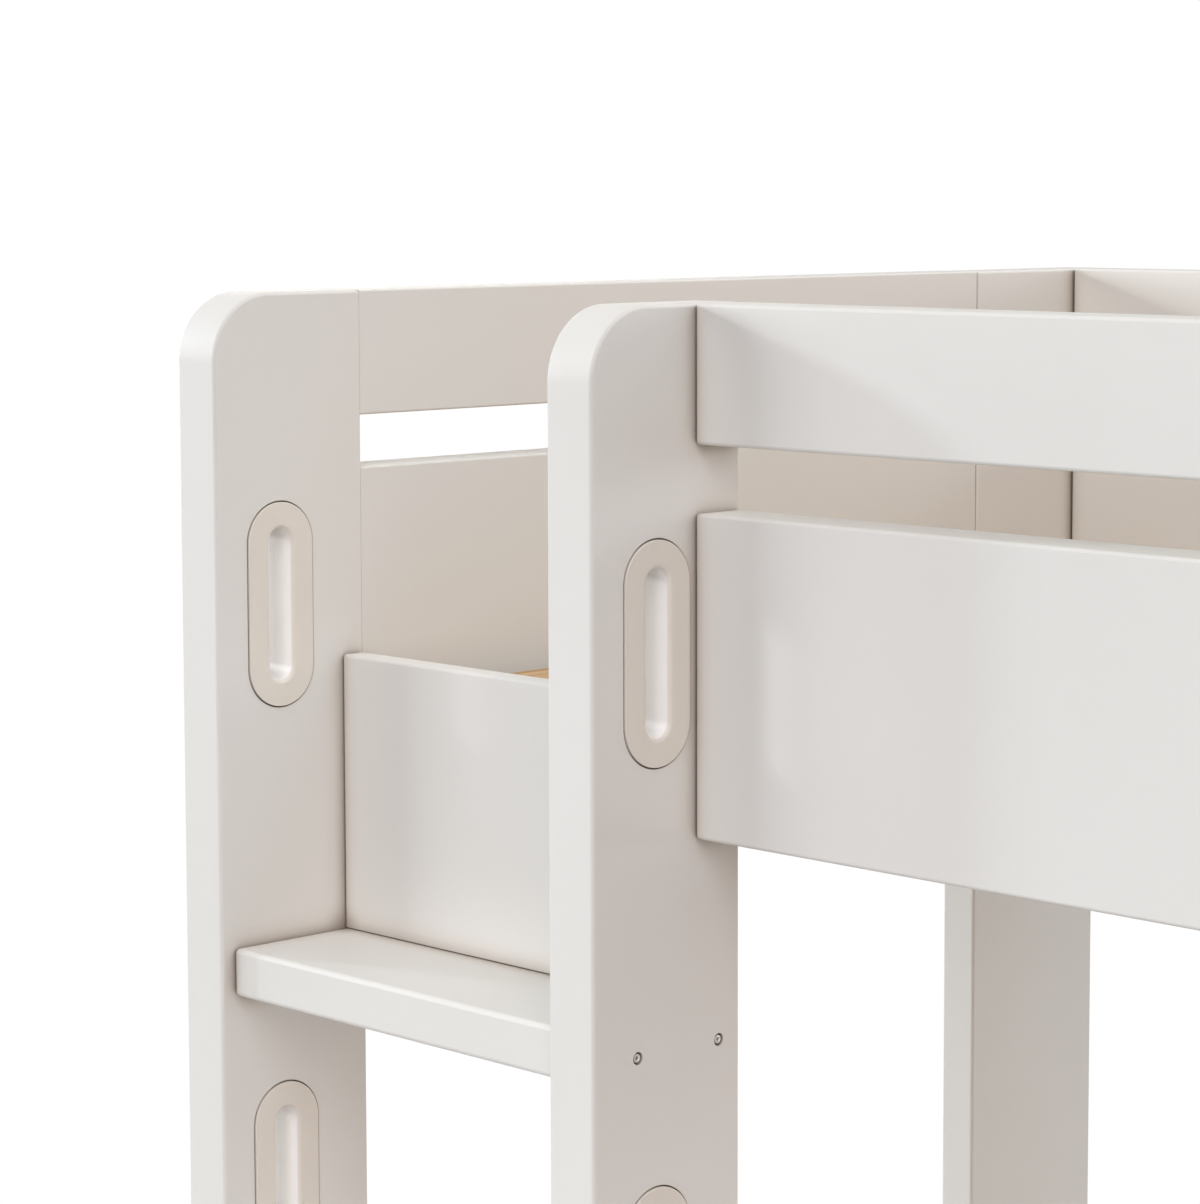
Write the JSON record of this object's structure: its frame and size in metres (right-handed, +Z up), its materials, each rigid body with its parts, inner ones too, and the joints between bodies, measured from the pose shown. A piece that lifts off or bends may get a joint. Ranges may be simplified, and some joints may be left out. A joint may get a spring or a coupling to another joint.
{
  "type": "bunk bed",
  "caption": "White bunk bed for single mattresses, with guard rails all round and a built-in ladder with slotted hand grips at its front left end.",
  "frame": {"origin": "floor level, under the middle of the bed's overall box", "axes": "+X along the length, from the ladder end to the other end; +Y from the ladder side to the rear; +Z up"},
  "size_m": [2.1152, 1.115, 1.727],
  "materials": {
    "white_lacquer": "smooth warm white satin lacquer over board",
    "pine": "planed natural pine, unlacquered",
    "grip_plastic": "fine matte moulded beige plastic",
    "zinc_steel": "zinc plated socket bolt",
    "glide_plastic": "grey furniture glide"
  },
  "bodies": {
    "root": {"front_guard_side_board": "white_lacquer", "front_guard_top_board": "white_lacquer", "front_right_glide": "glide_plastic", "front_right_post": "white_lacquer", "inner_stile_lower_grip_left_half": "grip_plastic", "inner_stile_lower_grip_right_half": "grip_plastic", "inner_stile_upper_grip_left_half": "grip_plastic", "inner_stile_upper_grip_right_half": "grip_plastic", "ladder_stile_inner": "white_lacquer", "ladder_stile_inner_glide": "glide_plastic", "ladder_stile_outer": "white_lacquer", "ladder_stile_outer_glide": "glide_plastic", "ladder_tread_1": "white_lacquer", "ladder_tread_2": "white_lacquer", "ladder_tread_3": "white_lacquer", "ladder_tread_4": "white_lacquer", "lower_entry_rail": "white_lacquer", "lower_front_rail": "white_lacquer", "lower_front_slat_bearer": "pine", "lower_left_end_board": "white_lacquer", "lower_rear_board": "white_lacquer", "lower_rear_slat_bearer": "pine", "lower_right_end_board": "white_lacquer", "lower_slat_1": "pine", "lower_slat_2": "pine", "lower_slat_3": "pine", "lower_slat_4": "pine", "lower_slat_5": "pine", "lower_slat_6": "pine", "lower_slat_7": "pine", "lower_slat_8": "pine", "lower_slat_9": "pine", "outer_stile_lower_grip_left_half": "grip_plastic", "outer_stile_lower_grip_right_half": "grip_plastic", "outer_stile_upper_grip_left_half": "grip_plastic", "outer_stile_upper_grip_right_half": "grip_plastic", "rear_guard_side_board": "white_lacquer", "rear_guard_top_board": "white_lacquer", "rear_left_glide": "glide_plastic", "rear_left_post": "white_lacquer", "rear_right_glide": "glide_plastic", "rear_right_post": "white_lacquer", "top_tread_bolt_front": "zinc_steel", "top_tread_bolt_rear": "zinc_steel", "upper_entry_rail": "white_lacquer", "upper_front_slat_bearer": "pine", "upper_left_end_board": "white_lacquer", "upper_left_end_top_board": "white_lacquer", "upper_rear_slat_bearer": "pine", "upper_right_end_board": "white_lacquer", "upper_right_end_top_board": "white_lacquer", "upper_slat_1": "pine", "upper_slat_2": "pine", "upper_slat_3": "pine", "upper_slat_4": "pine", "upper_slat_5": "pine", "upper_slat_6": "pine", "upper_slat_7": "pine", "upper_slat_8": "pine", "upper_slat_9": "pine"}
  },
  "joints": []
}
